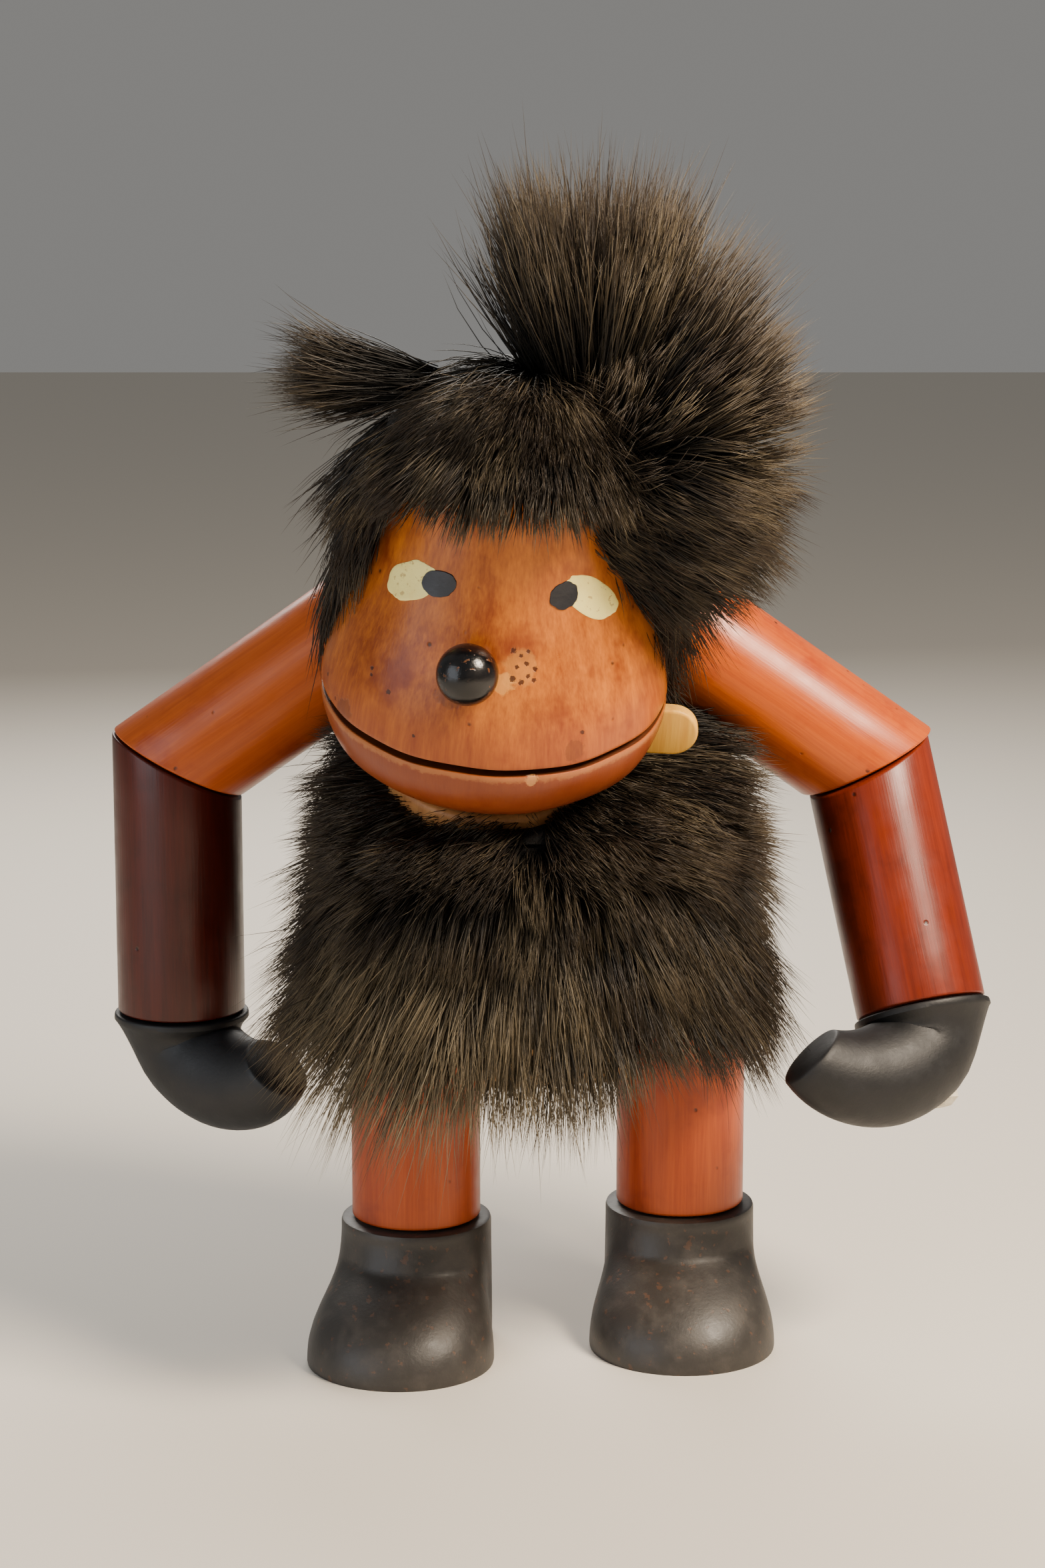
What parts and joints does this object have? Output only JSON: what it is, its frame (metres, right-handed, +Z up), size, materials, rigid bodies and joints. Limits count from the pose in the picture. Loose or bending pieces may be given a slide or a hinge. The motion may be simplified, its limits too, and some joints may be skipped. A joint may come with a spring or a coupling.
{
  "type": "jointed wooden toy monkey",
  "caption": "Standing toy monkey of turned wood with a fur cap and pelt, mitred dowel arms with hook hands, short legs and shoes, jointed from neck to ankles.",
  "frame": {"origin": "on the ground, under the middle of the figure's box", "axes": "+Z up, the face looks along -Y, +X to the right of someone who faces it"},
  "size_m": [0.1092, 0.064, 0.1433],
  "materials": {
    "head_wood": "stained and lacquered, worn satin",
    "amber_wood": "amber stain, satin lacquer",
    "dark_wood": "dark red-brown stain, satin lacquer",
    "leg_wood": "red-brown stain, satin lacquer",
    "pale_wood": "pale wood with yellowed varnish",
    "raw_wood": "unfinished light wood",
    "black_paint": "wood under satin black paint",
    "shoe_paint": "wood under satin charcoal paint",
    "bead": "wooden bead under gloss black lacquer, chipped",
    "fur": "dark brown real-fur pelt with paler tips",
    "elastic": "woven elastic cord",
    "steel": "plain drawn wire"
  },
  "bodies": {
    "trunk": {"trunk_core": "raw_wood", "body_fur": "fur", "elastic_shoulder": "elastic", "hip_pin": "steel", "neck_collar": "raw_wood", "neck_peg": "raw_wood"},
    "head": {"head_block": "head_wood", "nose_bead": "bead", "ear_right": "pale_wood", "head_fur": "fur"},
    "upper_arm_left": {"upper_arm_left": "amber_wood", "elastic_upper_arm_left": "elastic"},
    "forearm_left": {"forearm_left": "dark_wood", "elastic_forearm_left": "elastic"},
    "hand_left": {"hand_left": "black_paint", "elastic_hand_left": "elastic"},
    "upper_arm_right": {"upper_arm_right": "amber_wood", "elastic_upper_arm_right": "elastic"},
    "forearm_right": {"forearm_right": "dark_wood", "elastic_forearm_right": "elastic"},
    "hand_right": {"hand_right": "black_paint", "elastic_hand_right": "elastic"},
    "leg_left": {"leg_left": "leg_wood"},
    "shoe_left": {"shoe_left": "shoe_paint", "ankle_peg_left": "raw_wood"},
    "leg_right": {"leg_right": "leg_wood"},
    "shoe_right": {"shoe_right": "shoe_paint", "ankle_peg_right": "raw_wood"}
  },
  "joints": [
    {"name": "head_turn", "type": "hinge", "parent": "trunk", "child": "head", "pos_m": [-0.00625, -0.00391, 0.0856], "axis": [0.055, -0.3746, 0.9256], "range_deg": [-20, 25]},
    {"name": "shoulder_swing_left", "type": "hinge", "parent": "trunk", "child": "upper_arm_left", "pos_m": [-0.02095, 0.02059, 0.0889], "axis": [1, 0, 0], "range_deg": [-90, 60]},
    {"name": "elbow_swivel_left", "type": "hinge", "parent": "upper_arm_left", "child": "forearm_left", "pos_m": [-0.04615, 0.02059, 0.07125], "axis": [-0.4617, 0, -0.887], "range_deg": [-170, 170]},
    {"name": "wrist_swivel_left", "type": "hinge", "parent": "forearm_left", "child": "hand_left", "pos_m": [-0.04615, 0.02059, 0.03945], "axis": [0, 0, -1], "range_deg": [-150, 150]},
    {"name": "shoulder_swing_right", "type": "hinge", "parent": "trunk", "child": "upper_arm_right", "pos_m": [0.01505, 0.02059, 0.0889], "axis": [1, 0, 0], "range_deg": [-90, 60]},
    {"name": "elbow_swivel_right", "type": "hinge", "parent": "upper_arm_right", "child": "forearm_right", "pos_m": [0.04025, 0.02059, 0.07125], "axis": [0.4617, 0, -0.887], "range_deg": [-110, 12]},
    {"name": "wrist_swivel_right", "type": "hinge", "parent": "forearm_right", "child": "hand_right", "pos_m": [0.04618, 0.00828, 0.04254], "axis": [0.1865, -0.3873, -0.9029], "range_deg": [-150, 150]},
    {"name": "hip_swing_left", "type": "hinge", "parent": "trunk", "child": "leg_left", "pos_m": [-0.01621, 0.00979, 0.04], "axis": [0.986, 0.1668, 0], "range_deg": [-60, 30]},
    {"name": "ankle_swivel_left", "type": "hinge", "parent": "leg_left", "child": "shoe_left", "pos_m": [-0.01621, 0.00979, 0.0158], "axis": [0, 0, 1], "range_deg": [-60, 30]},
    {"name": "hip_swing_right", "type": "hinge", "parent": "trunk", "child": "leg_right", "pos_m": [0.01691, 0.0154, 0.04], "axis": [0.986, 0.1668, 0], "range_deg": [-60, 30]},
    {"name": "ankle_swivel_right", "type": "hinge", "parent": "leg_right", "child": "shoe_right", "pos_m": [0.01691, 0.0154, 0.0158], "axis": [0, 0, 1], "range_deg": [-30, 60]}
  ]
}
